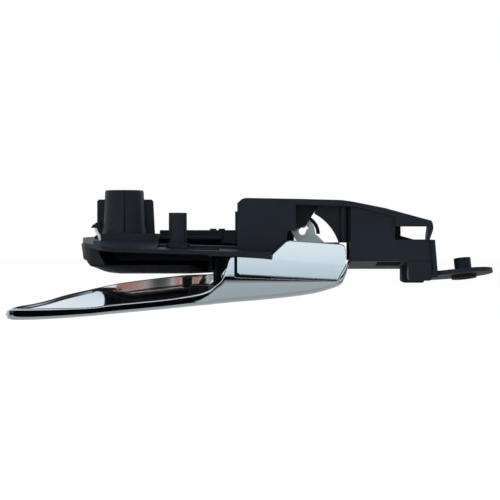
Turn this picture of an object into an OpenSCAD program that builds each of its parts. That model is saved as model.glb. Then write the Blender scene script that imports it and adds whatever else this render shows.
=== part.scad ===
// Interior door handle: a chromed pull lever on a black moulded carrier.
// +X runs along the handle from the lever's tip to the fixing ear, +Z points
// into the door, and Y is the direction of the pivot pin. The origin is on the
// axis of the large screw boss, level with the carrier's deck.

/* [Lever] */
// Distance from the screw boss to the lever's tip
tip_reach = 53; // [45:0.5:62]
// Width of the lever
lever_w = 37.4; // [35:0.2:42]
// Wall thickness of the lever
lever_wall = 2.2; // [1.6:0.1:2.8]
// Depth of the flat side panel below the lever's crowned skin
panel_step = 1.2; // [0.4:0.1:1.6]
// Width of the groove round the side panel
groove_w = 0.8; // [0.4:0.1:1.2]
// Depth of the groove round the side panel
groove_depth = 0.6; // [0.3:0.1:0.9]

/* [Pivot] */
// Distance from the screw boss to the pivot pin
pivot_x = 74.5; // [72:0.5:77]
// Depth of the pivot pin below the deck
pivot_drop = 11; // [10:0.25:12]
// Diameter of the pivot pin
pin_d = 4; // [3:0.1:5]
// Radial running clearance of the pin
pin_play = 0.05; // [0.02:0.01:0.1]
// Wall thickness of the pivot bushes
bush_wall = 1.2; // [0.8:0.1:1.6]
// Side clearance between the lever's cheeks and the carrier
cheek_gap = 0.5; // [0.3:0.1:0.8]

/* [Cable arm] */
// Thickness of the steel cable arm
arm_t = 1.8; // [1.2:0.1:2.5]
// Distance from the pivot pin to the cable's keyhole
keyhole_reach = 13.2; // [12:0.2:14]
// Diameter of the keyhole
keyhole_d = 3.2; // [2.6:0.1:3.8]
// Radius of the window that the arm is seen through
window_r = 22.5; // [21.5:0.1:23]

/* [Return spring] */
// Wire diameter of the return spring
wire_d = 1.2; // [0.8:0.1:1.4]
// Mean diameter of the spring's coil
coil_d = 5.8; // [5.6:0.1:6.4]
// Number of turns of the coil
coil_turns = 5; // [3:1:6]

/* [Carrier] */
// Wall thickness of the carrier
wall = 2.2; // [1.6:0.1:2.6]
// Height of the main side plates above the deck
plate_h = 15.7; // [14:0.1:18]
// Diameter of the large screw boss at its top
boss_d = 17.4; // [15:0.1:18]
// Height of the large screw boss
boss_h = 19.4; // [16:0.2:22]
// Diameter of the large boss's screw hole
boss_bore_d = 5.2; // [4:0.1:7]
// Depth of the large boss's screw hole
boss_bore_depth = 22; // [16:0.5:22.5]
// Diameter of the locating peg
peg_d = 8; // [6:0.1:9]
// Height of the locating peg above the deck
peg_h = 9.2; // [7:0.1:12]
// Distance from the screw boss to the locating peg
peg_x = 24.6; // [21:0.2:27]

/* [Bezel] */
// Width of the bezel's flange
flange_w = 44; // [42:0.5:50]
// Thickness of the bezel's flange
flange_t = 1.8; // [1.4:0.1:2.4]
// Depth of the bezel's bowl below the deck
bowl_drop = 18.3; // [17:0.1:18.4]

/* [Fixing ear] */
// Distance from the screw boss to the ear's centre
ear_x = 152.5; // [150:0.5:156]
// Diameter of the ear's round end
ear_d = 26; // [22:0.5:28]
// Diameter of the ear's post
post_d = 7.6; // [6.4:0.1:9]
// Height of the ear's post
post_h = 5.8; // [4:0.1:8]
// Diameter of the hole through the ear
ear_hole_d = 4.2; // [3.2:0.1:5]

/* [Hidden] */
$fn = 48;
fit = 0.02;
core_gap = 0.4;
seat = 0.3;
pivot_z = -pivot_drop;
pin_r = pin_d / 2;
half_lever = lever_w / 2;
panel_y = half_lever - panel_step;
cheek_in = panel_y - lever_wall;
plate_out = cheek_in - cheek_gap;
plate_in = plate_out - wall;
half_flange = flange_w / 2;
flange_tilt = 5.8;
flange_fall = 1.6;
flange_low = -6;
usual_reach = 53;
grip_start = 28;
left_end = -20.6;
flange_end = 66;
hull_end = 39.6;
plate_x0 = 50.9;
plate_x1 = 76.7;
box_recess = 1.3;
web_y0 = -9;
web_y1 = web_y0 + wall;
pad_y0 = -4.4;
web_x0 = pivot_x + 26.3;
window_x0 = 120.4;
window_low = -2.7;
wall_end = 137.9;
base_z = -12.2;
base_fall = 4.1;
ear_z = -16.8;
ear_roll = 8;
ear_pitch = 5;
ear_t = 1.9;
deck_y0 = -11;
deck_y1 = 19;
deck_end = 15.8;
peg_y = -11.5;
peg_foot_z = -4.2;
shelf_x0 = 27;
shelf_x1 = 43.8;
tray_wall = 1.6;
stop_x = 41.2;
stop_y = 6;
stop_d = 2.8;
rivet_x = [68.5, 84];
rivet_z = -17.5;
rivet_r = 1.5;
rim_lean = 0.35;

// Triangles that close an outline of n points, as a strip between its two halves
function lid(n) =
  [for (i = [0:ceil(n / 2) - 2])
    each (i + 1 == n - 2 - i ? [[i, i + 1, n - 1 - i]]
                             : [[i, i + 1, n - 2 - i], [i, n - 2 - i, n - 1 - i]])];

// Joins a row of closed outlines, each with the same number of points, into one solid
module loft(rings) {
  n = len(rings[0]);
  m = len(rings);
  top = (m - 1) * n;
  polyhedron(
    points = [for (ring = rings) for (p = ring) p],
    faces = concat(
      lid(n),
      [for (k = [0:m - 2]) for (i = [0:n - 1])
        [k * n + i, (k + 1) * n + i, (k + 1) * n + (i + 1) % n]],
      [for (k = [0:m - 2]) for (i = [0:n - 1])
        [k * n + i, (k + 1) * n + (i + 1) % n, k * n + (i + 1) % n]],
      [for (t = lid(n)) [top + t[0], top + t[2], top + t[1]]]));
}

// Extrudes an outline drawn in X and Z along Y, from y0 to y1
module along_y(y0, y1) {
  translate([0, y1, 0])
    rotate([90, 0, 0])
      linear_extrude(y1 - y0)
        children();
}

// A round bar along Y through a point given in X and Z
module pin_shape(r, y0, y1, x = pivot_x, z = pivot_z) {
  translate([x, y1, z])
    rotate([90, 0, 0])
      cylinder(r = r, h = y1 - y0);
}

// Height of the lever's lowest line, its near rim and its far edge, along its length
lever_table = [
  //   x,  lowest,  near,   far
  [-usual_reach, -36.6, -36.2, -36],
  [-52.2, -38.2, -34.3, -34.4],
  [-49, -38.8, -33.4, -33.2],
  [-43, -38.7, -33.2, -32.2],
  [-36, -38.4, -33, -30.6],
  [-28.6, -38, -32.8, -28.4],
  [-14.6, -36.9, -32.4, -25.2],
  [-3.4, -35.8, -31, -22.9],
  [7.4, -34.8, -29.9, -21.4],
  [20, -33.6, -28.6, -19.9],
  [28, -32.8, -27.4, -19.1],
  [34, -32.2, -26.3, -18.9],
  [38, -31.9, -25, -18.8],
  [41.5, -31.5, -22.6, -17.5],
  [43.9, -31.3, -20.6, -15.5],
  [46, -31.1, -16.4, -13],
  [48, -30.9, -10.4, -10.4],
  [60, -29.9, -2, -2],
  [75.4, -28.3, -2, -2],
  [84.6, -26.9, -2, -2],
  [92, -24.9, -2, -2],
  [96.4, -22.4, -2, -2],
  [98.8, -18.9, -2, -2],
  [100, -15, -2, -2]];

// The grip's stations follow the lever's reach
function station(x) =
  x < grip_start ? grip_start - (grip_start - x) * (tip_reach + grip_start) / (usual_reach + grip_start) : x;
lever_lines = [for (line = lever_table) [station(line[0]), line[1], line[2], line[3]]];

// Half width of the lever at x, round at its tip
function lever_half(x) =
  let (t = min(1, (x + tip_reach) / 26))
  half_lever * (x > 30 ? 1 : 0.86 + 0.14 * max(0, x + 20) / 50) * sqrt(max(0.02, 1 - pow(1 - t, 2.2)));

// Height of the ledge where the crowned skin meets the flat side panel
function ledge(x) = -19 - (x - 51) * 0.04;

// Height of the shoulder where the lever's floor turns into its wall
function shoulder(line, edge) =
  line[0] > 44 ? max(line[1] + lever_wall + 1.6, ledge(line[0])) : line[1] + 0.66 * (edge - line[1]);

// One point of the lever's cross-section: t runs from -1 at the near rim to 1 at the far edge
function lever_point(line, t, half, lift) =
  let (edge = t < 0 ? line[2] : line[3], turn = min(1, abs(t) / 0.8), up = max(0, abs(t) - 0.8) / 0.2,
       knee = shoulder(line, edge), low = line[1] + lift, lean = line[0] < 44 ? rim_lean * (1 - up) * turn : 0)
  [line[0], sign(t) * (half * pow(sin(90 * turn), 0.9) - lean),
   low + (max(knee, low) - low) * pow(1 - cos(90 * turn), 1.2) + (edge - max(knee, low)) * up];

lever_steps = 10;
function lever_outer(line) =
  [for (i = [0:lever_steps]) lever_point(line, -1 + 2 * i / lever_steps, lever_half(line[0]), 0)];
function lever_inner(line, extra = 0) =
  let (t_wall = min(lever_wall, (line[2] - line[1]) * 0.42),
       half = lever_half(line[0]) - t_wall - (line[0] > 47 ? panel_step : 0) - extra)
  [for (i = [lever_steps:-1:0]) lever_point(line, -1 + 2 * i / lever_steps, half, t_wall + extra)];

// Cross-section of the lever: a leaf with a near rim, a low middle and a raised far edge
function lever_ring(line) = concat(lever_outer(line), lever_inner(line));

module lever() {
  color("gainsboro")
  difference() {
    union() {
      loft([for (line = lever_lines) lever_ring(line)]);
      along_y(arm_t / 2, arm_t / 2 + lever_wall)
        polygon([[62, -28], [62, -19], [66, -14.8], [87, -14.8], [92, -19], [92, -23.4], [76, -26.8]]);
    }
    above_cheeks();
    for (side = [-1, 1]) {
      side_recess(side);
      panel_groove(side);
    }
    pin_shape(pin_r + fit, -cheek_in - 1.4, half_lever + 1);
    pin_shape(pin_r + 2, panel_y, half_lever + 2);
    for (x = rivet_x) pin_shape(rivet_r + fit, 0, arm_t + 3, x, rivet_z);
  }
}

// Everything above the cheeks' top line is open
module above_cheeks() {
  along_y(-half_lever - 1, half_lever + 1)
    polygon([[46.9, 5], [46.9, -10.4], [51, -10], [66.1, -10.9], [66.1, -9.3], [72.4, -3.4],
             [74, -3], [96.3, -4.5], [97.8, -5.3], [98.4, -7], [98.5, -13.4], [103, -13.8], [103, 5]]);
}

// The flat panel sits one step in from the crowned skin
module side_recess(side) {
  along_y(side > 0 ? panel_y : -half_lever - 2, side > 0 ? half_lever + 2 : -panel_y)
    polygon([[50.4, 5], [50.4, -18.2], [51.2, -19], [94.6, -20.7], [98.6, -13.6], [103, -12], [103, 5]]);
}

// The thin groove that separates the flat panel from the crowned skin
module panel_groove(side) {
  y = side > 0 ? panel_y - groove_depth : -panel_y - 0.1;
  along_y(y, y + groove_depth + 0.1)
    polygon([[50.4, -9.5], [50.4, -18.2], [51.2, -19], [94.6, -20.7], [94.6, -20.7 + groove_w],
             [51.7, -19 + groove_w], [50.4 + groove_w, -17.9], [50.4 + groove_w, -9.5]]);
}

module lever_core() {
  color("#202328")
  intersection() {
    loft([for (line = lever_lines) if (line[0] > 19 && line[0] < 47)
      let (ring = lever_inner(line, core_gap)) [for (i = [lever_steps:-1:0]) ring[i]]]);
    along_y(-half_lever, half_lever)
      polygon([[29.5, -32], [29.5, -24.4], [31, -23.2], [37, -23.4], [42.8, -23.4], [42.8, -32]]);
  }
}

// Outline of the steel arm: a bell crank that rises from the pivot to its keyhole
module arm_outline() {
  difference() {
    offset(0.6) offset(-0.6)
    polygon([[75, 1.2], [77.4, 6.2], [80.6, 7.6], [83.1, 6.4], [85.2, 3.4], [86, -0.4], [87.4, -1.4],
             [89.9, -4], [89, -20], [64, -20], [64, -14], [70, -8.6], [78.4, -4], [76.9, -2.6]]);
    translate([pivot_x, pivot_z]) circle(pin_r + fit);
    for (x = rivet_x) translate([x, rivet_z]) circle(rivet_r + fit);
  }
}

module keyhole() {
  along_y(-arm_t, arm_t)
    translate([pivot_x, pivot_z])
      rotate(65.2) translate([keyhole_reach, 0]) {
        circle(d = keyhole_d);
        rotate(-27) translate([0, -keyhole_d * 0.22]) square([keyhole_d * 0.95, keyhole_d * 0.44]);
      }
}

module cable_arm() {
  color("#a5aca8")
  difference() {
    along_y(-arm_t / 2, arm_t / 2) arm_outline();
    keyhole();
    pin_shape(pin_r + fit, -arm_t, arm_t);
    for (x = rivet_x) pin_shape(rivet_r + fit, -arm_t, arm_t, x, rivet_z);
  }
}

module arm_bumper() {
  color("#1b1d20")
  along_y(-1.6, 1.6)
    difference() {
      translate([79, -0.2]) intersection() {
        circle(8.9);
        polygon([[0, 0], [5.6, 9], [12, 9], [12, 0]]);
      }
      translate([79, -0.2]) circle(7.4);
      arm_outline();
    }
}

module arm_rivets() {
  color("#8d9396")
  for (x = rivet_x) {
    pin_shape(rivet_r, -arm_t / 2 - 0.6, arm_t / 2 + lever_wall + 0.6, x, rivet_z);
    pin_shape(rivet_r + 1.1, -arm_t / 2 - 0.9, -arm_t / 2, x, rivet_z);
    pin_shape(rivet_r + 1.1, arm_t / 2 + lever_wall, arm_t / 2 + lever_wall + 0.9, x, rivet_z);
  }
}

module pivot_pin() {
  color("#b4b8ba")
  pin_shape(pin_r, -cheek_in - 1.3, panel_y + 1.6);
}

module pin_clip() {
  color("#6f7478")
  difference() {
    pin_shape(pin_r + 2, panel_y + 0.05, panel_y + 0.65);
    pin_shape(pin_r + fit, panel_y - 1, panel_y + 2);
    along_y(panel_y - 1, panel_y + 2)
      translate([pivot_x - 0.6, pivot_z]) square([1.2, pin_r + 3]);
  }
}

module pivot_bushes() {
  color("#d8d4c6")
  for (side = [-1, 1])
    difference() {
      union() {
        pin_shape(pin_r + bush_wall, side > 0 ? plate_in : -plate_out, side > 0 ? plate_out : -plate_in);
        pin_shape(pin_r + bush_wall + 1, side > 0 ? plate_in - 0.8 : -plate_in,
                  side > 0 ? plate_in : -plate_in + 0.8);
      }
      pin_shape(pin_r + pin_play, -half_lever, half_lever);
    }
}

// One sweep of round wire through a list of points in X, Y and Z
module wire(path, r, sides = 8) {
  last = len(path) - 1;
  function unit(v) = v / norm(v);
  loft([for (i = [0:last])
    let (d = unit(path[min(i + 1, last)] - path[max(i - 1, 0)]),
         side = unit(cross(d, [0.02, 1, 0.03])),
         up = cross(side, d))
    [for (k = [0:sides - 1])
      path[i] + r * (cos(360 * k / sides) * side + sin(360 * k / sides) * up)]]);
}

module return_spring() {
  steps = 16;
  pitch = wire_d * 1.08;
  coil_y = -3.2;
  r = coil_d / 2;
  color("#9a9ea0")
  wire(concat(
    [[pivot_x - 11, coil_y + 0.1, pivot_z + r]],
    [for (i = [0:steps * coil_turns + steps / 4])
      let (a = 90 - 360 * i / steps)
      [pivot_x + r * cos(a), coil_y - pitch * i / steps, pivot_z + r * sin(a)]],
    [[pivot_x + r, coil_y - pitch * (coil_turns + 0.25), pivot_z - 5]]), wire_d / 2);
}

// Plan of the bezel: its lever end leans back from a small far corner to a large near one
module flange_plan(inset = 0) {
  hull() {
    translate([left_end + 6, half_flange - 6]) circle(6 - inset);
    translate([left_end + 11, 0]) circle(9 - inset);
    translate([left_end + 21, 12 - half_flange]) circle(12 - inset);
    translate([0, -half_flange + inset]) square([flange_end, flange_w - 2 * inset]);
  }
}

// Things drawn level are tipped into the plane of the flange
module on_flange() {
  translate([0, 0, flange_low]) rotate([flange_tilt, flange_fall, 0]) children();
}

// Cross-section of the bezel's scoop, from its near lip round its slanting underside to its far wall
function scoop_ring(x, near, far, low) =
  let (lip = -bowl_drop * 0.79, span = far - near, drop = low - lip)
  [[x, near, -3], [x, near, max(low, lip) + 0.8], [x, near + 0.7, max(low, lip) + min(0, drop) * 0.1],
   [x, near + span * 0.36, lip + drop * 0.74], [x, near + span * 0.62, low], [x, near + span * 0.82, low + 0.6],
   [x, far - 1.2, low + (lip - low) * 0.7], [x, far, -bowl_drop * 0.5 + max(0, low + 9)], [x, far, -3]];

// Height of the flange's underside
function under(x, y) = flange_low + y * tan(flange_tilt) - x * tan(flange_fall) - 0.1;

// The hollow that fingers reach into behind the lever, open along the near side
module finger_pocket() {
  h = half_flange;
  floor_z = -bowl_drop * 0.76;
  loft([for (s = [[-7.7, -11.4, 0.62, 0], [-4, -9, 0.86, 0], [2, 2, 1, 0], [29.5, 29.5, 1, 0], [38, 38, 0.94, -1.6]])
    let (low = s[0], top = s[1], k = s[2], sink = s[3])
    [[low, -h - 8, floor_z + sink], [low, -h * 0.45, floor_z + sink], [low, h * 0.1 * k, -15 + sink * 0.6],
     [low, h * 0.5 * k, -15.9], [low, h * 0.76 * k, -15], [low, h * 0.88 * k, -12.6],
     [top, h * 0.88 * k, under(top, h * 0.88 * k)], [top, h * 0.5 * k, under(top, h * 0.5 * k)],
     [top, h * 0.1 * k, under(top, h * 0.1 * k)], [top, -h * 0.45, under(top, -h * 0.45)],
     [top, -h - 2, under(top, -h)], [top, -h - 8, under(top, -h)]]]);
}

// The flange's top slopes up from its near edge to the foot of the platform
module apron() {
  intersection() {
    on_flange() linear_extrude(6) flange_plan(0.2);
    on_flange() along_x(left_end, deck_end)
      polygon([[0.3 - half_flange, 0.5], [0.3 - half_flange, flange_t], [deck_y0 - 0.3, flange_t + 2.1],
               [deck_y0 - 0.3, 0.5]]);
  }
}

// The near edge of the flange hangs down a little further beside the lever's root
module near_rim() {
  along_y(-half_flange + 0.02, -half_lever - 0.5)
    polygon([[-4, -7.6], [-4, -8.2], [1, -8.7], [18, -9.1], [56, -10.2], [flange_end, -11.4], [flange_end, -8]]);
}

module bezel() {
  color("#23272d")
  difference() {
    union() {
      on_flange() linear_extrude(flange_t) flange_plan();
      near_rim();
      apron();
      along_y(12, 14)
        polygon([[hull_end - 1, -7], [hull_end - 1, -17], [43.6, -18.6], [46, -15.6], [46.6, -10], [46.6, -7]]);
      difference() {
        loft([for (s = [[left_end + 0.4, 0.3, 0.78, -5.4], [-19.4, 0.12, 0.86, -7.2], [-18.4, 0, 0.9, -9.2],
                        [-17.4, -0.1, 0.93, -11.2], [-16.2, -0.18, 0.95, -13], [-14.8, -0.26, 0.97, -14.5],
                        [-12.9, -0.33, 0.98, -15.9], [-10.4, -0.38, 0.98, -17.1], [-7.5, -0.41, 0.98, -17.8],
                        [-3, -0.41, 0.98, -bowl_drop],
                        [29.5, -0.41, 0.98, -bowl_drop], [hull_end, -0.05, 0.96, -bowl_drop + 0.4]])
          scoop_ring(s[0], half_flange * s[1], half_flange * s[2], s[3])]);
        on_flange() translate([-60, -60, 0.01]) cube([160, 120, 40]);
      }
      translate([stop_x, stop_y, -18.6]) cylinder(d = stop_d, h = 12.8);
      translate([stop_x, stop_y, -21]) cylinder(d = stop_d / 2, h = 3);
    }
    finger_pocket();
    translate([47, -plate_out - seat, -30]) cube([40, 2 * (plate_out + seat), 40]);
    on_flange() translate([shelf_x0, -half_flange + 1.7, -1]) cube([16, 7.8, 4]);
  }
}

// The raised platform round the screw boss, and the open tray between it and the main plates
module carrier_deck() {
  difference() {
    union() {
      translate([-9.4, deck_y0, -8]) cube([deck_end + 9.4, deck_y1 - deck_y0, 8]);
      translate([deck_end - 1, deck_y0, -10]) cube([plate_x0 - deck_end + 3, 2, 10]);
      translate([deck_end - 1, deck_y1 - tray_wall, -6]) cube([plate_x0 - deck_end + 3, tray_wall, 7.6]);
    }
    on_flange() translate([-80, -60, -40 + flange_t]) cube([200, 120, 40]);
    translate([-7.4, deck_y0 + tray_wall, -2]) cube([deck_end + 5.8, deck_y1 - deck_y0 - 2 * tray_wall, 4]);
    on_flange() translate([deck_end, -60, flange_t + 1]) cube([plate_x0 - deck_end, 56, 30]);
  }
  difference() {
    translate([peg_x, peg_y, -9]) cylinder(d = peg_d + 2.4, h = 9 + peg_foot_z);
    on_flange() translate([-80, -60, -40 + flange_t]) cube([200, 120, 40]);
  }
  translate([peg_x, peg_y, -5.2]) cylinder(d = peg_d, h = 5.2 + peg_h);
  tray_shelf();
}

// The shelf with its upright tabs, the block beside the plates and the teeth on the tray's far wall
module tray_shelf() {
  translate([deck_end - 1, 0, -2.5]) cube([shelf_x1 - deck_end + 1, deck_y1 - 1, 1.2]);
  for (x = [shelf_x0, 38, 42.6]) translate([x, 0, -1.5]) cube([1.2, tray_wall, 1]);
  translate([shelf_x1 - 0.2, 2, -4]) cube([plate_x0 - shelf_x1 + 0.4, 9, 4.2]);
  for (x = [38, 42]) translate([x, deck_y1 - tray_wall, 1.5]) cube([3, tray_wall, 0.8]);
}

// The screw boss with its cross rib, the hook on the rib's end and the groove down the near side
module screw_boss() {
  rib_y = 3;
  difference() {
    union() {
      translate([0, 0, -2.2]) cylinder(r1 = boss_d / 2 + 1.6, r2 = boss_d / 2 + 0.7, h = 6);
      translate([0, 0, 3.7]) cylinder(r1 = boss_d / 2 + 0.7, r2 = boss_d / 2, h = boss_h - 4.3);
      translate([0, 0, boss_h - 0.7]) cylinder(r1 = boss_d / 2, r2 = boss_d / 2 - 0.4, h = 0.7);
      along_y(rib_y, rib_y + wall)
        polygon([[-12.6, -1], [-12.6, boss_h - 4.8], [-11.8, boss_h - 4], [12, boss_h - 4], [12.7, boss_h - 4.8],
                 [13.5, -1]]);
      along_y(rib_y - 1.4, rib_y + wall)
        polygon([[-12.5, 2.4], [-15.4, 2.6], [-14.4, 3.9], [-12.8, 5], [-11, 5.2], [-11, 2.4]]);
      along_y(rib_y - 4, rib_y + wall) polygon([[-9, -3], [-13, -2.6], [-13.5, -1.4], [-12.4, -0.6], [-9, -0.4]]);
    }
    translate([0, 0, boss_h - boss_bore_depth]) cylinder(d = boss_bore_d, h = boss_bore_depth + 1);
    translate([0.5, -boss_d / 2 - 2, 0.6]) cube([0.7, 2.4, boss_h]);
  }
}

// Side profile of the main plates, with a round top corner
module plate_profile() {
  r = 4;
  translate([plate_x0 + r, plate_h - r]) circle(r);
  polygon([[plate_x0, -9], [plate_x0, plate_h - r], [plate_x0 + r, plate_h], [plate_x1, plate_h - 0.4],
           [plate_x1, -9.4], [pivot_x + 4.6, pivot_z], [pivot_x, pivot_z - 4.6], [pivot_x - 4.6, pivot_z],
           [66, -9.4]]);
}

// The near plate is notched where the steel arm's corner shows
module arm_notch() {
  along_y(-plate_out - 1, -plate_in + 1)
    polygon([[73, 1.2], [plate_x1 + 1, 1.2], [plate_x1 + 1, -5], [72.4, -5]]);
}

// Side profile of the long top beam, which slopes down to the cable bracket
module beam_profile() {
  polygon([[54.9, plate_h], [78.5, plate_h - 0.4], [96.8, plate_h - 0.9], [99.8, plate_h - 1.3],
           [102.7, plate_h - 1.8], [115.8, 11.3], [136.4, 5.7], [136.9, 3.2], [window_x0, 3.2], [window_x0, 7.7],
           [115.8, 8.5], [103.8, 11.8], [plate_x1, 12.8], [54.9, 13]]);
}

// The middle web, with its round window about the pivot
module web_profile() {
  difference() {
    polygon([[87.6, 14], [web_x0, 13.4], [web_x0 + wall, 11], [web_x0 + wall, -4], [92, -4], [85.1, 9.2]]);
    translate([pivot_x, pivot_z]) circle(window_r);
  }
}

// The deeper pad that hangs from the beam in front of the steel arm
module pad_profile() {
  polygon([[plate_x1 - 1.7, 13.4], [88.4, 13.4], [87.4, 12.6], [84.9, 9], [83, 6.1], [81.3, 3.4], [78.4, 2.5],
           [plate_x1 - 1.7, 1.4]]);
}

// Outline of the box's side walls, right of the lever, with the cable's window left open
module box_side(window_start, window_corner) {
  polygon([[web_x0, 13], [103.8, 12.4], [115.8, 9], [window_start, 8], [window_start, window_corner],
           [window_start + 6, window_low], [wall_end, window_low], [wall_end, base_z], [web_x0, base_z]]);
}

// Extrudes an outline drawn in Y and Z along X, from x0 to x1
module along_x(x0, x1) {
  translate([x0, 0, 0])
    rotate([90, 0, 90])
      linear_extrude(x1 - x0)
        children();
}

module carrier() {
  color("#23272d")
  difference() {
    union() {
      carrier_deck();
      screw_boss();
      along_y(-plate_out, -plate_in) plate_profile();
      along_y(plate_in, plate_out) plate_profile();
      translate([plate_x0, -plate_out, -3]) cube([wall, 2 * plate_out, plate_h + 1]);
      translate([plate_x0 - 1.1, -1, -3]) cube([2, wall, 13]);
      along_y(-plate_out, plate_out) beam_profile();
      along_y(web_y0, web_y1) web_profile();
      along_y(pad_y0, pad_y0 + wall) pad_profile();
      translate([98.1, web_y0, -4]) cylinder(r = 1.9, h = 17);
      along_y(-plate_out + box_recess, web_y1) translate([web_x0, base_z]) square([wall, 25]);
      along_y(-plate_out + box_recess, -plate_in + box_recess) box_side(window_x0, window_low);
      along_y(plate_in, plate_out) box_side(window_x0 + 5.2, -1);
      along_x(web_x0, wall_end)
        polygon([[-plate_out + box_recess, base_z], [plate_out, base_z - base_fall],
                 [plate_out, base_z - base_fall + wall], [-plate_out + box_recess, base_z + wall]]);
      end_wall();
      cable_gate();
      ear();
    }
    for (side = [-1, 1]) pin_shape(pin_r + bush_wall + fit, -half_lever, half_lever);
    arm_notch();
    translate([112.9, -11, base_z - base_fall]) cube([10.8, 14, base_fall + 1]);
  }
}

module end_wall() {
  along_y(-plate_out, plate_out)
    polygon([[wall_end - 1.8, window_low], [wall_end, window_low], [wall_end + 1.2, ear_z], [wall_end + 1.2, -19.2],
             [wall_end - 0.6, -19.4]]);
}

// The open jaw that holds the cable's end fitting
module cable_gate() {
  along_y(-plate_out, -plate_out + 8)
    polygon([[135.1, 3.4], [136.8, 5], [137.2, 3], [137, 1.4], [135.9, -1.7], [135.6, -2.8], [134.4, -2.8],
             [134.6, 0]]);
}

// Things drawn level are tipped into the plane of the fixing ear
module on_ear() {
  translate([ear_x, 0, ear_z]) rotate([-ear_roll, -ear_pitch, 0]) children();
}

module ear() {
  difference() {
    on_ear() {
      translate([0, 0, -ear_t]) linear_extrude(ear_t) hull() {
        circle(d = ear_d);
        translate([-ear_x + wall_end, -10]) square([2, 20]);
      }
      cylinder(d = post_d, h = post_h);
    }
    on_ear() translate([0, 0, -8]) cylinder(d = ear_hole_d, h = 20);
  }
}

module ear_collar() {
  color("#2a2d31")
  on_ear()
    difference() {
      translate([0, 0, -ear_t - 1.5]) cylinder(d = ear_hole_d + 7, h = 1.5);
      translate([0, 0, -8]) cylinder(d = ear_hole_d + 2.2, h = 10);
    }
}

module stop_pad() {
  color("#17191c")
  difference() {
    translate([stop_x, stop_y, -22.9]) cylinder(d = stop_d, h = 4.3);
    translate([stop_x, stop_y, -21]) cylinder(d = stop_d / 2 + fit, h = 4);
  }
}

module panel_clip() {
  color("#c9cccd")
  along_y(-10.8, -7)
    polygon([[-12.5, 2.2], [-11.6, 2.4], [-11, 0.9], [-9.9, -0.9], [-9.42, -3], [-10.3, -3.1], [-10.8, -1.2],
             [-12, 0.6]]);
}

// Side outline of a block that is round at its free corners
module block_side(x0, x1, z0, z1) {
  r = 1.4;
  hull() {
    translate([x0 + r, z0 + r]) circle(r);
    translate([x1 - r, z0 + r]) circle(r);
    translate([x0, z1 - 1]) square([x1 - x0, 1]);
  }
}

// Everything above the box's slanting underside
module above_base(gap = 0) {
  along_x(web_x0, wall_end + 2)
    polygon([[-plate_out, base_z - gap + 0.2], [-plate_out + box_recess, base_z - gap],
             [plate_out, base_z - base_fall - gap], [plate_out, 0], [-plate_out, 0]]);
}

module trim_clip() {
  color("#202328")
  difference() {
    along_y(-plate_out + 1, -plate_out + 9) block_side(126.4, 136.6, -20.8, base_z);
    above_base(fit);
  }
}

// The far block has upright ribs on its near face
module clip_buffer() {
  color("#17191c")
  difference() {
    union() {
      along_y(1, 11) block_side(125, 135.2, -22.2, base_z);
      for (x = [125.6, 127.2]) translate([x, 0.4, -21]) cube([0.8, 1, 9]);
    }
    above_base(fit);
  }
}

carrier();
bezel();
lever();
lever_core();
cable_arm();
arm_bumper();
arm_rivets();
pivot_pin();
pin_clip();
pivot_bushes();
return_spring();
stop_pad();
panel_clip();
trim_clip();
clip_buffer();
ear_collar();
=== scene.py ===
import math

import bpy
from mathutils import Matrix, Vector


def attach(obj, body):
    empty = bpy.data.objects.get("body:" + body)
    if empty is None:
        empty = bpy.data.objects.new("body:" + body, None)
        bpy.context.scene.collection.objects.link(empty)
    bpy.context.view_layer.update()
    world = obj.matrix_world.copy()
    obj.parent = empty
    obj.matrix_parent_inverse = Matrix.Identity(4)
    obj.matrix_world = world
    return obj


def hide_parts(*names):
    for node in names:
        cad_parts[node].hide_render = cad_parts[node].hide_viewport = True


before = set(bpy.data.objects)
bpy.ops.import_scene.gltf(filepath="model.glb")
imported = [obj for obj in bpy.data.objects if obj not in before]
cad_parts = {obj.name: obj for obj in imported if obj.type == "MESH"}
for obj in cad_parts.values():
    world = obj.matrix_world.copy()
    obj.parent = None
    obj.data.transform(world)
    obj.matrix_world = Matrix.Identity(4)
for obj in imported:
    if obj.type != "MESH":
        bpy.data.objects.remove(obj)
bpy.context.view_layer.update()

MM = 0.001
IMAGE_PIXELS = 500

# The view: the camera stands level with the carrier's deck and looks along the pivot pin
MM_PER_PIXEL = 0.45
VIEW_DISTANCE = 650 * MM
VIEW_CENTRE_X = 56.5 * MM
EYE_LEVEL_Z = 0.7 * MM
HORIZON_ABOVE_MIDDLE = 18 / IMAGE_PIXELS
SENSOR_MM = 36


def make_camera():
    data = bpy.data.cameras.new("handle_view")
    data.sensor_width = SENSOR_MM
    data.lens = SENSOR_MM * VIEW_DISTANCE / (MM_PER_PIXEL * MM * IMAGE_PIXELS)
    data.shift_y = -HORIZON_ABOVE_MIDDLE
    data.clip_start = 0.01
    data.clip_end = 20
    camera = bpy.data.objects.new("handle_view", data)
    camera.location = (VIEW_CENTRE_X, -VIEW_DISTANCE, EYE_LEVEL_Z)
    camera.rotation_euler = (math.radians(90), 0, 0)
    bpy.context.scene.collection.objects.link(camera)
    bpy.context.scene.camera = camera


def linear(hex_colour):
    """An sRGB hex colour as linear red, green, blue and alpha."""
    channels = [int(hex_colour[i:i + 2], 16) / 255 for i in (1, 3, 5)]
    return [c / 12.92 if c <= 0.04045 else ((c + 0.055) / 1.055) ** 2.4 for c in channels] + [1.0]


def add_node(tree, kind, inputs=None, **settings):
    """Adds a node, sets its properties, and gives each named input a value or a link."""
    node = tree.nodes.new(kind)
    for name, value in settings.items():
        setattr(node, name, value)
    for name, value in (inputs or {}).items():
        if isinstance(value, bpy.types.NodeSocket):
            tree.links.new(value, node.inputs[name])
        else:
            node.inputs[name].default_value = value
    return node


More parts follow.
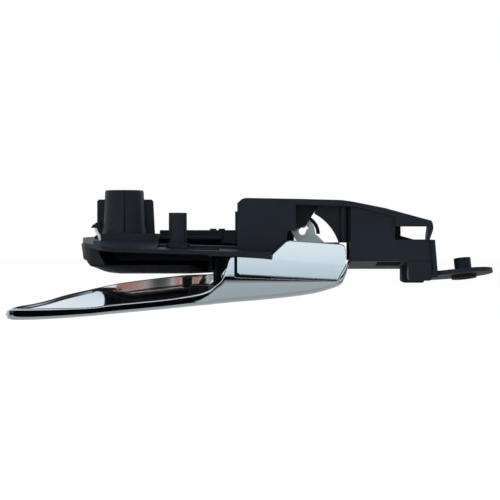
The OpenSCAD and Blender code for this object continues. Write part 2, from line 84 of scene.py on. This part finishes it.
def start_material(name):
    """A new material with only its output, and the place on the object in metres."""
    material = bpy.data.materials.new(name)
    material.use_nodes = True
    tree = material.node_tree
    tree.nodes.clear()
    output = add_node(tree, "ShaderNodeOutputMaterial")
    place = add_node(tree, "ShaderNodeTexCoord").outputs["Object"]
    return material, tree, output, place


def noise(tree, place, size_mm, detail=3.0, stretch=(1, 1, 1)):
    """Noise whose spots measure about size_mm."""
    spread = add_node(tree, "ShaderNodeMapping", {"Vector": place, "Scale": stretch})
    return add_node(tree, "ShaderNodeTexNoise", {
        "Vector": spread.outputs[0], "Scale": 1 / (size_mm * MM), "Detail": detail}).outputs["Fac"]


def between(tree, factor, low, high):
    """Spreads a noise value over a range of numbers."""
    return add_node(tree, "ShaderNodeMapRange", {
        "Value": factor, "From Min": 0.3, "From Max": 0.7, "To Min": low, "To Max": high}).outputs[0]


def fade(tree, value, start, end):
    """0 before start and 1 after end, or the other way round where start is the higher."""
    return add_node(tree, "ShaderNodeMapRange",
                    {"Value": value, "From Min": start, "From Max": end}).outputs[0]


def product(tree, first, second):
    return add_node(tree, "ShaderNodeMath", {0: first, 1: second}, operation="MULTIPLY").outputs[0]


def blend_colours(tree, factor, first, second):
    """Mixes two colours, each a hex colour or another node's output."""
    mix = add_node(tree, "ShaderNodeMix", {"Factor": factor}, data_type="RGBA")
    for name, colour in (("A", first), ("B", second)):
        if isinstance(colour, str):
            mix.inputs[name].default_value = linear(colour)
        else:
            tree.links.new(colour, mix.inputs[name])
    return mix.outputs["Result"]


def surface(tree, output, inputs):
    shader = add_node(tree, "ShaderNodeBsdfPrincipled", inputs)
    tree.links.new(shader.outputs[0], output.inputs["Surface"])


def moulded_abs(name, dark, light, roughness, grain_mm, grain_depth_mm, edge_mm=0.25):
    """Injection-moulded black ABS: a fine grain breaks up its soft sheen, and its edges are rounded."""
    material, tree, output, place = start_material(name)
    cloud = noise(tree, place, 18)
    grain = noise(tree, place, grain_mm, 2.0)
    rounded = add_node(tree, "ShaderNodeBevel", {"Radius": edge_mm * MM}, samples=4)
    bump = add_node(tree, "ShaderNodeBump", {
        "Strength": 0.6, "Distance": grain_depth_mm * MM, "Height": grain, "Normal": rounded.outputs[0]})
    surface(tree, output, {
        "Base Color": blend_colours(tree, cloud, dark, light),
        "Roughness": between(tree, grain, roughness - 0.06, roughness + 0.06),
        "IOR": 1.53,
        "Specular IOR Level": 0.3,
        "Normal": bump.outputs[0]})
    return material


# A faint crease runs along the lever's side panels, and they lean in a little below it
CREASE_Z, CREASE_FALL, CREASE_LEAN = -5.3, 0.087, 0.003


def plated_chrome(name):
    """Bright chrome plating on moulded plastic: a mirror with faint ripple and thin cloudy wipe marks."""
    material, tree, output, place = start_material(name)
    wipe = noise(tree, place, 22, 4.0, (0.4, 1, 1))
    ripple = noise(tree, place, 9, 1.0)
    rounded = add_node(tree, "ShaderNodeBevel", {"Radius": 0.6 * MM}, samples=16)
    spot = add_node(tree, "ShaderNodeSeparateXYZ", {"Vector": place})
    line = add_node(tree, "ShaderNodeMath", {0: spot.outputs["X"], 1: -CREASE_FALL, 2: CREASE_Z * MM},
                    operation="MULTIPLY_ADD")
    below = add_node(tree, "ShaderNodeMath", {0: line.outputs[0], 1: spot.outputs["Z"]}, operation="SUBTRACT")
    lean = add_node(tree, "ShaderNodeMath", {0: below.outputs[0], 1: 0.0}, operation="MAXIMUM")
    crease = add_node(tree, "ShaderNodeBump", {
        "Strength": 1.0, "Distance": CREASE_LEAN, "Height": lean.outputs[0],
        "Normal": rounded.outputs[0]}, invert=True)
    bump = add_node(tree, "ShaderNodeBump", {
        "Strength": 0.1, "Distance": 0.05 * MM, "Height": ripple, "Normal": crease.outputs[0]})
    surface(tree, output, {
        "Base Color": blend_colours(tree, wipe, "#e2e8ec", "#ebf0f3"),
        "Metallic": 1.0,
        "Roughness": between(tree, wipe, 0.03, 0.07),
        "Normal": bump.outputs[0]})
    return material


def painted_groove_shade(name):
    """Painted shade for the bottom of a thin groove: a near-black, half-metallic, rough surface standing in
    for its dark reflection.
    """
    material, tree, output, place = start_material(name)
    shade_mottle = noise(tree, place, 2)
    surface(tree, output, {
        # Near-black colours, mottled by noise: painted shade in the groove
        "Base Color": blend_colours(tree, shade_mottle, "#0b0908", "#1d1614"),
        "Metallic": 0.3,
        "Specular IOR Level": 0.2,
        "Roughness": between(tree, shade_mottle, 0.45, 0.6)})
    return material


def zinc_plated(name):
    """Punched steel with satin zinc plating: dull, faintly green grey, with a fine rolled grain."""
    material, tree, output, place = start_material(name)
    grain = noise(tree, place, 0.5, 3.0, (0.2, 1, 1))
    spangle = noise(tree, place, 3)
    bump = add_node(tree, "ShaderNodeBump", {"Strength": 0.3, "Distance": 0.02 * MM, "Height": grain})
    surface(tree, output, {
        "Base Color": blend_colours(tree, spangle, "#cdd1c6", "#dcdfd4"),
        "Metallic": 0.25,
        "Roughness": between(tree, grain, 0.38, 0.55),
        "Normal": bump.outputs[0]})
    return material


def bright_steel(name, dark, light, roughness):
    """Turned or drawn steel: a clean grey metal with fine lines along its length."""
    material, tree, output, place = start_material(name)
    lines = noise(tree, place, 0.4, 2.0, (1, 0.1, 1))
    surface(tree, output, {
        "Base Color": blend_colours(tree, lines, dark, light),
        "Metallic": 1.0,
        "Roughness": between(tree, lines, roughness - 0.05, roughness + 0.08)})
    return material


def moulded_rubber(name):
    """Soft black rubber: no gloss, and a powdery bloom that lightens it in places."""
    material, tree, output, place = start_material(name)
    bloom = noise(tree, place, 4)
    grain = noise(tree, place, 0.3)
    bump = add_node(tree, "ShaderNodeBump", {"Strength": 0.4, "Distance": 0.03 * MM, "Height": grain})
    surface(tree, output, {
        "Base Color": blend_colours(tree, bloom, "#0f1011", "#17181a"),
        "Roughness": between(tree, bloom, 0.7, 0.85),
        "Normal": bump.outputs[0]})
    return material


def natural_acetal(name):
    """Uncoloured acetal: a waxy off-white plastic that lets a little light in."""
    material, tree, output, place = start_material(name)
    cloud = noise(tree, place, 3)
    surface(tree, output, {
        "Base Color": blend_colours(tree, cloud, "#d9d4c4", "#e6e2d6"),
        "Roughness": between(tree, cloud, 0.35, 0.45),
        "IOR": 1.48,
        "Subsurface Weight": 0.15,
        "Subsurface Scale": 1.5 * MM})
    return material


black_abs = moulded_abs("grained_black_ABS", "#151a1e", "#1b2127", 0.5, 0.45, 0.05)
smooth_abs = moulded_abs("smooth_black_ABS", "#0e1012", "#131518", 0.38, 0.9, 0.01)
chrome = plated_chrome("bright_chrome_plating")
# The bottom of the lever's groove gets painted shade, near black
groove_shade = painted_groove_shade("painted_shade_in_groove")
zinc = zinc_plated("satin_zinc_plated_steel")
turned_steel = bright_steel("turned_steel", "#9a9da0", "#b4b7b9", 0.25)
spring_wire = bright_steel("drawn_spring_steel", "#6b6f73", "#8b8f93", 0.35)
rubber = moulded_rubber("moulded_black_rubber")
acetal = natural_acetal("natural_acetal")

NODE_FINISH = {
    "carrier": black_abs, "bezel": black_abs, "lever": chrome, "lever_core": smooth_abs, "cable_arm": zinc,
    "arm_bumper": rubber, "arm_rivets": turned_steel, "pivot_pin": turned_steel, "pin_clip": spring_wire,
    "pivot_bushes": acetal, "return_spring": spring_wire, "stop_pad": rubber, "panel_clip": zinc,
    "trim_clip": black_abs, "clip_buffer": rubber, "ear_collar": rubber}


def dress_nodes():
    for name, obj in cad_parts.items():
        obj.data.materials.clear()
        obj.data.materials.append(NODE_FINISH[name])
    shade_smooth(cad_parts["bezel"], 50)


def soft_lamp(name, place, aim, size, watts, colour="#ffffff"):
    light = bpy.data.lights.new(name, "AREA")
    light.shape = "RECTANGLE"
    light.size, light.size_y = size
    light.energy = watts
    light.color = linear(colour)[:3]
    lamp = bpy.data.objects.new(name, light)
    lamp.location = place
    lamp.rotation_euler = (Vector(aim) - Vector(place)).to_track_quat("-Z", "Y").to_euler()
    lamp.visible_glossy = False
    bpy.context.scene.collection.objects.link(lamp)


# The chromed lever: the solid's own cross-sections, at a finer pitch and with a smooth run between them
TIP_REACH = 53
ROOT_END = 100
HALF_LEVER = 18.7
LEVER_WALL = 2.2
PANEL_Y = 17.5
GROOVE_DEPTH = 0.6
PIN_X, PIN_Z, PIN_R = 74.5, -11, 2
# The grip's walls lean in from their edges down to the knee, and above LIP_FROM the near one leans in again
RIM_LEAN = 0.35
LIP_LEAN = 0.12
LIP_FROM = 0.55
WALL_TAPER = 0.5

# x, then the height of the lowest line, of the near rim and of the far edge
LEVER_TABLE = [
    (-53, -36.6, -36.2, -36), (-52.2, -38.2, -34.3, -34.4), (-49, -38.8, -33.4, -33.2),
    (-43, -38.7, -33.2, -32.2), (-36, -38.4, -33, -30.6), (-28.6, -38, -32.8, -28.4),
    (-14.6, -36.9, -32.4, -25.2), (-3.4, -35.8, -31, -22.9), (7.4, -34.8, -29.9, -21.4),
    (20, -33.6, -28.6, -19.9), (28, -32.8, -27.4, -19.1), (34, -32.2, -26.3, -18.9),
    (38, -31.9, -25, -18.8), (41.5, -31.5, -22.6, -17.5), (43.9, -31.3, -20.6, -15.5),
    (46, -31.1, -16.4, -13), (48, -30.9, -10.4, -10.4), (60, -29.9, -2, -2), (75.4, -28.3, -2, -2),
    (84.6, -26.9, -2, -2), (92, -24.9, -2, -2), (96.9, -22.8, -2, -2), (98.8, -18.9, -2, -2),
    (100, -15, -2, -2)]


def smooth_run(xs, ys):
    """A curve through the points that never overshoots them: a monotone cubic."""
    steps = [(ys[i + 1] - ys[i]) / (xs[i + 1] - xs[i]) for i in range(len(xs) - 1)]
    slopes = [steps[0]]
    for before, after in zip(steps, steps[1:]):
        slopes.append(0 if before * after <= 0 else 2 * before * after / (before + after))
    slopes.append(steps[-1])

    def value(x):
        i = max(0, min(len(steps) - 1, sum(1 for known in xs if known <= x) - 1))
        width = xs[i + 1] - xs[i]
        t = min(1, max(0, (x - xs[i]) / width))
        return ((1 + 2 * t) * (1 - t) ** 2 * ys[i] + t * (1 - t) ** 2 * width * slopes[i]
                + t * t * (3 - 2 * t) * ys[i + 1] - t * t * (1 - t) * width * slopes[i + 1])
    return value


def smooth_step(low, high, x):
    t = min(1, max(0, (x - low) / (high - low)))
    return t * t * (3 - 2 * t)


table_x = [row[0] for row in LEVER_TABLE]
lowest, near_rim, far_edge = (smooth_run(table_x, [row[k] for row in LEVER_TABLE]) for k in (1, 2, 3))


def lever_half(x):
    t = min(1, max(0, (x + TIP_REACH) / 26))
    taper = 0.86 + 0.14 * min(1, max(0, (x + 20) / 50))
    return HALF_LEVER * taper * math.sqrt(max(0.02, 1 - (1 - t) ** 2.2))


def lever_point(x, t, half, lift):
    """One point of the lever's cross-section: t runs from -1 at the near rim to 1 at the far edge."""
    edge = near_rim(x) if t < 0 else far_edge(x)
    turn = min(1, abs(t) / 0.8)
    up = max(0, abs(t) - 0.8) / 0.2
    low = lowest(x)
    grip_knee = low + (0.66 + 0.28 * smooth_step(36, 43, x)) * (edge - low)
    root_knee = max(low + LEVER_WALL + 1.6, -19 - (x - 51) * 0.04)
    knee = max(min(grip_knee, root_knee), low + lift)
    lip = LIP_FROM if t < 0 else 1
    lean = RIM_LEAN * max(0, 1 - up / lip) * turn + LIP_LEAN * max(0, up - lip) / (1 - LIP_FROM)
    lean *= 1 - smooth_step(32, 39, x)
    low += lift
    return (x, math.copysign(half * math.sin(math.radians(90 * turn)) ** 0.9 - lean, t),
            low + (knee - low) * (1 - math.cos(math.radians(90 * turn))) ** 1.2 + (edge - knee) * up)


LEVER_STEPS = 72


def lever_ring(x):
    wall = min(LEVER_WALL, (near_rim(x) - lowest(x)) * 0.42)
    half = lever_half(x)
    spread = [-1 + 2 * i / LEVER_STEPS for i in range(LEVER_STEPS + 1)]
    inset = wall + 1.2 * smooth_step(46, 48, x)
    rise_x = 1 - smooth_step(-15, 4, x)
    near_in, far_in = near_rim(x) - 1.0, far_edge(x) - 2.6 + 1.9 * rise_x
    inner = []
    for t in reversed(spread):
        px, py, pz = lever_point(x, t, half - inset, wall)
        rise = min(1, max(0, (pz - lowest(x) - wall) / max(0.5, far_edge(x) - lowest(x) - wall)))
        py -= WALL_TAPER * (1 - rise) * smooth_step(0.5, 0.8, t) * (1 - smooth_step(43, 47, x))
        across = (py / (half - inset) + 1) / 2
        slope_z = near_in + (far_in - near_in) * across ** 1.4
        inner.append((px, py, pz + rise_x * 0.92 * max(0, min(slope_z, far_in) - pz)))
    return [lever_point(x, t, half, 0) for t in spread] + inner


# The faces of a box whose corners are given as its top going round and then its underside
BOX_FACES = [(0, 1, 2, 3), (7, 6, 5, 4), (0, 4, 5, 1), (1, 5, 6, 2), (2, 6, 7, 3), (3, 7, 4, 0)]


def new_object(name, vertices, faces):
    mesh = bpy.data.meshes.new(name)
    mesh.from_pydata([[v * MM for v in vertex] for vertex in vertices], [], faces)
    mesh.validate()
    obj = bpy.data.objects.new(name, mesh)
    bpy.context.scene.collection.objects.link(obj)
    return obj


def loft(name, rings):
    n = len(rings[0])
    faces = [tuple(reversed(range(n))), tuple(range((len(rings) - 1) * n, len(rings) * n))]
    for k in range(len(rings) - 1):
        for i in range(n):
            j = (i + 1) % n
            faces.append((k * n + i, k * n + j, (k + 1) * n + j, (k + 1) * n + i))
    return new_object(name, [p for ring in rings for p in ring], faces)


def slab_along_y(name, outline, y0, y1):
    """An outline in X and Z, given counter-clockwise, extruded from y0 to y1."""
    n = len(outline)
    vertices = [(x, y0, z) for x, z in outline] + [(x, y1, z) for x, z in outline]
    faces = [tuple(range(n)), tuple(reversed(range(n, 2 * n)))]
    faces += [(i, n + i, n + (i + 1) % n, (i + 1) % n) for i in range(n)]
    return new_object(name, vertices, faces)


def disc_outline(x, z, radius, sides=48):
    return [(x + radius * math.cos(2 * math.pi * i / sides), z + radius * math.sin(2 * math.pi * i / sides))
            for i in range(sides)]


def combine(obj, other, operation):
    step = obj.modifiers.new(operation.lower(), "BOOLEAN")
    step.operation = operation
    step.solver = "EXACT"
    step.object = other
    depsgraph = bpy.context.evaluated_depsgraph_get()
    mesh = bpy.data.meshes.new_from_object(obj.evaluated_get(depsgraph))
    obj.modifiers.clear()
    obj.data = mesh
    bpy.data.objects.remove(other)


def shade_smooth(obj, degrees=30):
    for face in obj.data.polygons:
        face.use_smooth = True
    obj.data.set_sharp_from_angle(angle=math.radians(degrees))


def make_lever():
    stations = [-TIP_REACH + 0.35 * i * (0.35 + 0.65 * min(1, i / 24)) for i in range(44)]
    while stations[-1] < ROOT_END:
        steep = 40 <= stations[-1] <= 50 or stations[-1] >= 94
        stations.append(min(ROOT_END, stations[-1] + 1.1 * (0.4 if steep else 1)))
    lever = loft("lever_skin", [lever_ring(x) for x in stations])
    rib = [(62, -28), (76, -26.8), (92, -23.4), (92, -19), (87, -14.8), (66, -14.8), (62, -19)]
    combine(lever, slab_along_y("rib", rib, 0.9, 0.9 + LEVER_WALL), "UNION")
    open_top = [(46.9, 5), (46.9, -10.4), (51, -10), (66.1, -10.9), (66.1, -9.3), (72.4, -3.4), (74, -3),
                (96.3, -4.5), (97.8, -5.3), (98.4, -7), (98.5, -13.4), (103, -13.8), (103, 5)]
    combine(lever, slab_along_y("open_top", open_top, -30, 30), "DIFFERENCE")
    recess = [(50.9, 5), (50.9, -18.2), (51.5, -19), (94.6, -20.7), (98.6, -13.6), (103, -12), (103, 5)]
    # The groove runs up the front of the side panel and along its lower edge, getting thinner to the back
    groove = [(49.6, -9.5), (49.6, -18.4), (50.5, -19), (94.6, -20.7), (94.6, -20.4), (51.7, -18.1),
              (50.9, -17.4), (50.9, -9.5)]
    for side in (-1, 1):
        near, far = sorted((side * PANEL_Y, side * (HALF_LEVER + 2)))
        combine(lever, slab_along_y("recess", recess, near, far), "DIFFERENCE")
        near, far = sorted((side * (PANEL_Y - GROOVE_DEPTH), side * (HALF_LEVER + 2)))
        combine(lever, slab_along_y("groove", groove, near, far), "DIFFERENCE")
    combine(lever, slab_along_y("bore", disc_outline(PIN_X, PIN_Z, PIN_R + 0.02), -16.7, 21), "DIFFERENCE")
    head_seat = disc_outline(PIN_X, PIN_Z, PIN_R + 2)
    combine(lever, slab_along_y("counterbore", head_seat, PANEL_Y, 21), "DIFFERENCE")
    shade_smooth(lever, 25)
    lever.data.materials.clear()
    lever.data.materials.append(chrome)
    lever.data.materials.append(groove_shade)
    # Faces at the bottom of the groove take the second material, which is painted shade
    for face in lever.data.polygons:
        depth = abs(face.center.y) / MM
        in_groove = PANEL_Y - GROOVE_DEPTH - 0.05 < depth < PANEL_Y - 0.05
        if in_groove and face.center.x > 49.5 * MM and -21.7 * MM < face.center.z < -9 * MM:
            face.material_index = 1
    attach(lever, "lever")
    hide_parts("lever")


# The strip of the bezel's flange that closes its opening in front of the carrier's plates
STRIP_X = (46.9, 50.6)
STRIP_HALF = 15.3
FLANGE_TOP, FLANGE_THICK = -4.21, 1.8
FLANGE_SLOPE_Y, FLANGE_SLOPE_X = 0.1016, -0.0279


def make_flange_strip():
    corners = []
    for drop in (0, FLANGE_THICK):
        for x, y in ((STRIP_X[0], -STRIP_HALF), (STRIP_X[1], -STRIP_HALF), (STRIP_X[1], STRIP_HALF),
                     (STRIP_X[0], STRIP_HALF)):
            corners.append((x, y, FLANGE_TOP - drop + FLANGE_SLOPE_Y * y + FLANGE_SLOPE_X * x))
    strip = new_object("flange_strip", corners, BOX_FACES)
    rib = slab_along_y("flange_strip_rib", [(46.4, -12.4), (50.6, -12.4), (50.6, -6.3), (46.4, -6.2)], 12, 14)
    foot = slab_along_y("web_foot", [(88, -4.9), (96.2, -4.9), (96.2, -3.9), (88, -3.9)], -8.9, -6.9)
    for piece in (strip, rib, foot):
        piece.data.materials.clear()
        piece.data.materials.append(black_abs)
        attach(piece, "carrier")


FLOOR_Z = -0.087
FLOOR_HALF = 4.0


def level_corners(x_ends, y_ends, z):
    near, far = y_ends
    return [(x_ends[0], near, z), (x_ends[1], near, z), (x_ends[1], far, z), (x_ends[0], far, z)]


def make_floor():
    """A pale floor below the pulled lever's tip, with only a trace of the object's shadow."""
    material, tree, output, place = start_material("pale_paper")
    paper = add_node(tree, "ShaderNodeBsdfDiffuse", {"Color": linear("#f2f2f2")})
    glow = add_node(tree, "ShaderNodeEmission", {"Color": linear("#ffffff"), "Strength": 1.1})
    rays = add_node(tree, "ShaderNodeLightPath")
    share = product(tree, rays.outputs["Is Camera Ray"], 0.85)
    mix = add_node(tree, "ShaderNodeMixShader", {0: share, 1: paper.outputs[0], 2: glow.outputs[0]})
    tree.links.new(mix.outputs[0], output.inputs["Surface"])
    mesh = bpy.data.meshes.new("floor")
    mesh.from_pydata(level_corners((-FLOOR_HALF, FLOOR_HALF), (-FLOOR_HALF, FLOOR_HALF), FLOOR_Z), [],
                     [(0, 1, 2, 3)])
    floor = bpy.data.objects.new("floor", mesh)
    floor.data.materials.append(material)
    bpy.context.scene.collection.objects.link(floor)
    floor.visible_glossy = False


def ramp(tree, value, stops):
    """Colours along a value that runs from -1 to 1."""
    place = add_node(tree, "ShaderNodeMapRange", {"Value": value, "From Min": -1.0, "From Max": 1.0})
    node = add_node(tree, "ShaderNodeValToRGB", {"Fac": place.outputs[0]})
    points = node.color_ramp.elements
    for point, (at, colour) in zip(points, (stops[0], stops[-1])):
        point.position = (at + 1) / 2
        point.color = linear(colour)
    for at, colour in stops[1:-1]:
        points.new((at + 1) / 2).color = linear(colour)
    return node.outputs["Color"]


# What polished metal sees, by the sine of the elevation: the white backdrop lies behind the handle and
# above it, and a dark room lies behind the camera
BACKDROP_SEEN = [
    (-1, "#8f9799"), (-0.5, "#9ba3a6"), (-0.15, "#b4bcc0"), (0, "#f4f6f8"), (0.6, "#dfe9f4"), (1, "#c9d9ea")]
ROOM_SEEN = [
    (-1, "#a3adaf"), (-0.55, "#aab3b6"), (-0.36, "#7b8385"), (-0.24, "#060606"), (-0.07, "#060606"),
    (-0.05, "#a9bac6"), (-0.031, "#d2e1ea"), (-0.009, "#f1faff"), (0.045, "#e6f1f7"), (0.06, "#5d666c"),
    (0.12, "#f4fafd"), (0.26, "#f4fafd"), (0.3, "#0c0a0a"), (0.55, "#0c0a0a"), (0.6, "#96695f"),
    (0.66, "#96695f"), (0.7, "#0c0a0a"), (0.92, "#0c0a0a"), (1, "#c9d9ea")]
# A warm wall with dark patches stands in the room, from its left part to a bright frame in the middle. It is
# seen by the sine of the azimuth, between the two sines of elevation of its lower and upper edges
WALL_SEEN = [
    (-1, "#a5766a"), (-0.005, "#a5766a"), (-0.002, "#eef4f8"), (0.003, "#eef4f8"), (0.006, "#0c0a0a"),
    (1, "#0c0a0a")]
WALL_DARK = "#0c0a0a"
WALL_FOOT = (0.09, 0.11)
WALL_HEAD = (0.38, 0.34)
WALL_LEFT = (-0.07, -0.06)
PATCHES_PER_TURN = (22, 1, 9)


def make_light():
    world = bpy.data.worlds.new("studio")
    bpy.context.scene.world = world
    world.use_nodes = True
    tree = world.node_tree
    tree.nodes.clear()
    rays = add_node(tree, "ShaderNodeLightPath")
    seen = add_node(tree, "ShaderNodeMath", {
        0: rays.outputs["Is Camera Ray"], 1: rays.outputs["Is Transmission Ray"]}, operation="MAXIMUM")
    direction = add_node(tree, "ShaderNodeTexCoord").outputs["Generated"]
    way = add_node(tree, "ShaderNodeSeparateXYZ", {"Vector": direction})
    height = way.outputs["Z"]
    patches = add_node(tree, "ShaderNodeMapping", {"Vector": direction, "Scale": PATCHES_PER_TURN})
    spots = add_node(tree, "ShaderNodeTexNoise", {"Vector": patches.outputs[0], "Scale": 1.0, "Detail": 1.0})
    wall = blend_colours(tree, fade(tree, spots.outputs["Fac"], 0.46, 0.5), WALL_DARK,
                         ramp(tree, way.outputs["X"], WALL_SEEN))
    wall_seen = product(tree, product(tree, fade(tree, height, *WALL_FOOT), fade(tree, height, *WALL_HEAD)),
                        fade(tree, way.outputs["X"], *WALL_LEFT))
    front = blend_colours(tree, wall_seen, ramp(tree, height, ROOM_SEEN), wall)
    behind = fade(tree, way.outputs["Y"], 0.4, 0.6)
    studio = blend_colours(tree, behind, front, ramp(tree, height, BACKDROP_SEEN))
    mirrored = add_node(tree, "ShaderNodeBackground", {"Color": studio, "Strength": 1.0})
    room = add_node(tree, "ShaderNodeBackground", {"Color": linear("#eef2f6"), "Strength": 0.4})
    white = add_node(tree, "ShaderNodeBackground", {"Color": linear("#ffffff"), "Strength": 1.0})
    lit = add_node(tree, "ShaderNodeMixShader", {0: rays.outputs["Is Glossy Ray"], 1: room.outputs[0],
                                                2: mirrored.outputs[0]})
    mix = add_node(tree, "ShaderNodeMixShader", {0: seen.outputs[0], 1: lit.outputs[0], 2: white.outputs[0]})
    add_node(tree, "ShaderNodeOutputWorld", {"Surface": mix.outputs[0]})
    middle = (0.055, 0, -0.01)
    soft_lamp("top_softbox", (0.05, 0.1, 0.9), middle, (1.2, 0.9), 13, "#eef3ff")
    soft_lamp("front_softbox", (-0.2, -1.1, 0.5), middle, (1.2, 0.6), 6, "#cfe2ff")
    soft_lamp("right_softbox", (1.0, -0.5, 0.3), middle, (0.6, 0.8), 3, "#e4eeff")
    soft_lamp("paper_bounce", (0.1, -0.3, -0.9), middle, (1.0, 0.8), 14, "#ffd9a8")


# A black flag below the grip, seen in its polished underside and by nothing else
FLAG_X = (-0.3, 0.037)
FLAG_Y = (-0.5, 0.014)
FLAG_Z = -0.084


def make_flag():
    mesh = bpy.data.meshes.new("black_flag")
    mesh.from_pydata(level_corners(FLAG_X, FLAG_Y, FLAG_Z), [], [(0, 1, 2, 3)])
    flag = bpy.data.objects.new("black_flag", mesh)
    material, tree, output, place = start_material("black_velvet")
    pile = noise(tree, place, 1)
    surface(tree, output, {"Base Color": blend_colours(tree, pile, "#030303", "#080808"), "Roughness": 0.9,
                           "Specular IOR Level": 0.0})
    mesh.materials.append(material)
    bpy.context.scene.collection.objects.link(flag)
    flag.visible_camera = False
    flag.visible_diffuse = False
    flag.visible_shadow = False


make_camera()
make_floor()
make_light()
make_flag()
dress_nodes()
make_lever()
make_flange_strip()

view_settings = bpy.context.scene.view_settings
view_settings.view_transform = "Standard"
